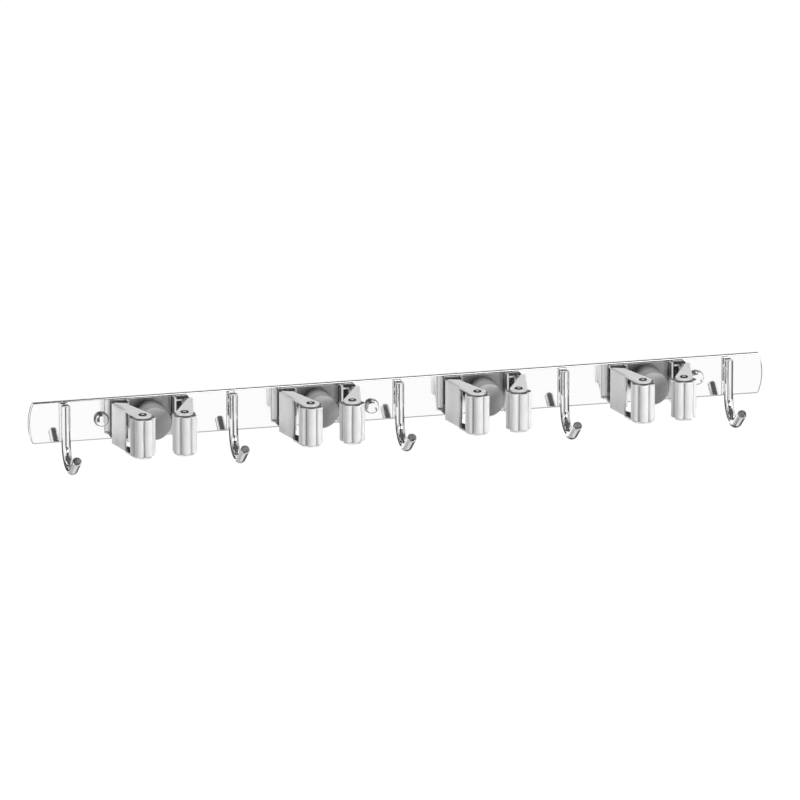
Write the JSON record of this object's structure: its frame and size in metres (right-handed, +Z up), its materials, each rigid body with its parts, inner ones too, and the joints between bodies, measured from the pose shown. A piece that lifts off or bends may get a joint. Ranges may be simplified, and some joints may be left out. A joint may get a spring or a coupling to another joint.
{
  "type": "wall mop holder rack",
  "caption": "Polished steel wall strip with round-rod J hooks and sprung pole clamps with ribbed rollers, for hanging mops, brooms and cloths.",
  "frame": {"origin": "centre of the strip's flat back face, on the wall", "axes": "+X along the strip to the right as seen from the room, +Y into the wall, +Z up"},
  "size_m": [0.49, 0.0836, 0.045],
  "materials": {
    "polished_strip": "mirror polished stainless sheet",
    "polished_bracket": "bright stamped steel",
    "chrome_rod": "bright plated round rod",
    "chrome_trim": "bright plated caps, collars and rivets",
    "satin_steel": "satin stamped steel",
    "hollow_rivet": "rolled hollow rivet",
    "pin_steel": "plain pin",
    "spring_steel": "drawn spring wire",
    "zinc_screw": "zinc plated screw",
    "light_rubber": "light grey moulded rubber",
    "grey_rubber": "mid grey moulded rubber"
  },
  "bodies": {
    "rack": {"base_plate": "polished_strip", "hook_1": "chrome_rod", "hook_2": "chrome_rod", "hook_3": "chrome_rod", "hook_4": "chrome_rod", "hook_5": "chrome_rod", "wall_screws": "zinc_screw", "screw_collars": "chrome_trim", "screw_caps": "chrome_trim", "bracket_rivets": "chrome_trim", "clamp_1_bracket": "polished_bracket", "clamp_1_pad": "grey_rubber", "clamp_1_pivot_pins": "pin_steel", "clamp_1_left_spring": "spring_steel", "clamp_1_right_spring": "spring_steel", "clamp_2_bracket": "polished_bracket", "clamp_2_pad": "grey_rubber", "clamp_2_pivot_pins": "pin_steel", "clamp_2_left_spring": "spring_steel", "clamp_2_right_spring": "spring_steel", "clamp_3_bracket": "polished_bracket", "clamp_3_pad": "grey_rubber", "clamp_3_pivot_pins": "pin_steel", "clamp_3_left_spring": "spring_steel", "clamp_3_right_spring": "spring_steel", "clamp_4_bracket": "polished_bracket", "clamp_4_pad": "grey_rubber", "clamp_4_pivot_pins": "pin_steel", "clamp_4_left_spring": "spring_steel", "clamp_4_right_spring": "spring_steel"},
    "clamp_1_left_arm_body": {"clamp_1_left_arm": "satin_steel", "clamp_1_left_roller_pin": "hollow_rivet"},
    "clamp_1_left_roller_body": {"clamp_1_left_roller": "light_rubber"},
    "clamp_1_right_arm_body": {"clamp_1_right_arm": "satin_steel", "clamp_1_right_roller_pin": "hollow_rivet"},
    "clamp_1_right_roller_body": {"clamp_1_right_roller": "light_rubber"},
    "clamp_2_left_arm_body": {"clamp_2_left_arm": "satin_steel", "clamp_2_left_roller_pin": "hollow_rivet"},
    "clamp_2_left_roller_body": {"clamp_2_left_roller": "light_rubber"},
    "clamp_2_right_arm_body": {"clamp_2_right_arm": "satin_steel", "clamp_2_right_roller_pin": "hollow_rivet"},
    "clamp_2_right_roller_body": {"clamp_2_right_roller": "light_rubber"},
    "clamp_3_left_arm_body": {"clamp_3_left_arm": "satin_steel", "clamp_3_left_roller_pin": "hollow_rivet"},
    "clamp_3_left_roller_body": {"clamp_3_left_roller": "light_rubber"},
    "clamp_3_right_arm_body": {"clamp_3_right_arm": "satin_steel", "clamp_3_right_roller_pin": "hollow_rivet"},
    "clamp_3_right_roller_body": {"clamp_3_right_roller": "light_rubber"},
    "clamp_4_left_arm_body": {"clamp_4_left_arm": "satin_steel", "clamp_4_left_roller_pin": "hollow_rivet"},
    "clamp_4_left_roller_body": {"clamp_4_left_roller": "light_rubber"},
    "clamp_4_right_arm_body": {"clamp_4_right_arm": "satin_steel", "clamp_4_right_roller_pin": "hollow_rivet"},
    "clamp_4_right_roller_body": {"clamp_4_right_roller": "light_rubber"}
  },
  "joints": [
    {"name": "clamp_1_left_arm_swing", "type": "hinge", "parent": "rack", "child": "clamp_1_left_arm_body", "pos_m": [-0.18835, -0.012, 0], "axis": [0, 0, -1], "range_deg": [0, 30], "stiffness_Nm_per_rad": 0.6, "springref_deg": -22.92, "deforming": ["clamp_1_left_spring"]},
    {"name": "clamp_1_left_roller_spin", "type": "hinge", "parent": "clamp_1_left_arm_body", "child": "clamp_1_left_roller_body", "pos_m": [-0.1795, -0.0454, 0], "axis": [0, 0, 1], "continuous": true},
    {"name": "clamp_1_right_arm_swing", "type": "hinge", "parent": "rack", "child": "clamp_1_right_arm_body", "pos_m": [-0.14315, -0.012, 0], "axis": [0, 0, 1], "range_deg": [0, 30], "stiffness_Nm_per_rad": 0.6, "springref_deg": -22.92, "deforming": ["clamp_1_right_spring"]},
    {"name": "clamp_1_right_roller_spin", "type": "hinge", "parent": "clamp_1_right_arm_body", "child": "clamp_1_right_roller_body", "pos_m": [-0.152, -0.0454, 0], "axis": [0, 0, 1], "continuous": true},
    {"name": "clamp_2_left_arm_swing", "type": "hinge", "parent": "rack", "child": "clamp_2_left_arm_body", "pos_m": [-0.07785, -0.012, 0], "axis": [0, 0, -1], "range_deg": [0, 30], "stiffness_Nm_per_rad": 0.6, "springref_deg": -22.92, "deforming": ["clamp_2_left_spring"]},
    {"name": "clamp_2_left_roller_spin", "type": "hinge", "parent": "clamp_2_left_arm_body", "child": "clamp_2_left_roller_body", "pos_m": [-0.069, -0.0454, 0], "axis": [0, 0, 1], "continuous": true},
    {"name": "clamp_2_right_arm_swing", "type": "hinge", "parent": "rack", "child": "clamp_2_right_arm_body", "pos_m": [-0.03265, -0.012, 0], "axis": [0, 0, 1], "range_deg": [0, 30], "stiffness_Nm_per_rad": 0.6, "springref_deg": -22.92, "deforming": ["clamp_2_right_spring"]},
    {"name": "clamp_2_right_roller_spin", "type": "hinge", "parent": "clamp_2_right_arm_body", "child": "clamp_2_right_roller_body", "pos_m": [-0.0415, -0.0454, 0], "axis": [0, 0, 1], "continuous": true},
    {"name": "clamp_3_left_arm_swing", "type": "hinge", "parent": "rack", "child": "clamp_3_left_arm_body", "pos_m": [0.03265, -0.012, 0], "axis": [0, 0, -1], "range_deg": [0, 30], "stiffness_Nm_per_rad": 0.6, "springref_deg": -22.92, "deforming": ["clamp_3_left_spring"]},
    {"name": "clamp_3_left_roller_spin", "type": "hinge", "parent": "clamp_3_left_arm_body", "child": "clamp_3_left_roller_body", "pos_m": [0.0415, -0.0454, 0], "axis": [0, 0, 1], "continuous": true},
    {"name": "clamp_3_right_arm_swing", "type": "hinge", "parent": "rack", "child": "clamp_3_right_arm_body", "pos_m": [0.07785, -0.012, 0], "axis": [0, 0, 1], "range_deg": [0, 30], "stiffness_Nm_per_rad": 0.6, "springref_deg": -22.92, "deforming": ["clamp_3_right_spring"]},
    {"name": "clamp_3_right_roller_spin", "type": "hinge", "parent": "clamp_3_right_arm_body", "child": "clamp_3_right_roller_body", "pos_m": [0.069, -0.0454, 0], "axis": [0, 0, 1], "continuous": true},
    {"name": "clamp_4_left_arm_swing", "type": "hinge", "parent": "rack", "child": "clamp_4_left_arm_body", "pos_m": [0.14315, -0.012, 0], "axis": [0, 0, -1], "range_deg": [0, 30], "stiffness_Nm_per_rad": 0.6, "springref_deg": -22.92, "deforming": ["clamp_4_left_spring"]},
    {"name": "clamp_4_left_roller_spin", "type": "hinge", "parent": "clamp_4_left_arm_body", "child": "clamp_4_left_roller_body", "pos_m": [0.152, -0.0454, 0], "axis": [0, 0, 1], "continuous": true},
    {"name": "clamp_4_right_arm_swing", "type": "hinge", "parent": "rack", "child": "clamp_4_right_arm_body", "pos_m": [0.18835, -0.012, 0], "axis": [0, 0, 1], "range_deg": [0, 30], "stiffness_Nm_per_rad": 0.6, "springref_deg": -22.92, "deforming": ["clamp_4_right_spring"]},
    {"name": "clamp_4_right_roller_spin", "type": "hinge", "parent": "clamp_4_right_arm_body", "child": "clamp_4_right_roller_body", "pos_m": [0.1795, -0.0454, 0], "axis": [0, 0, 1], "continuous": true}
  ]
}
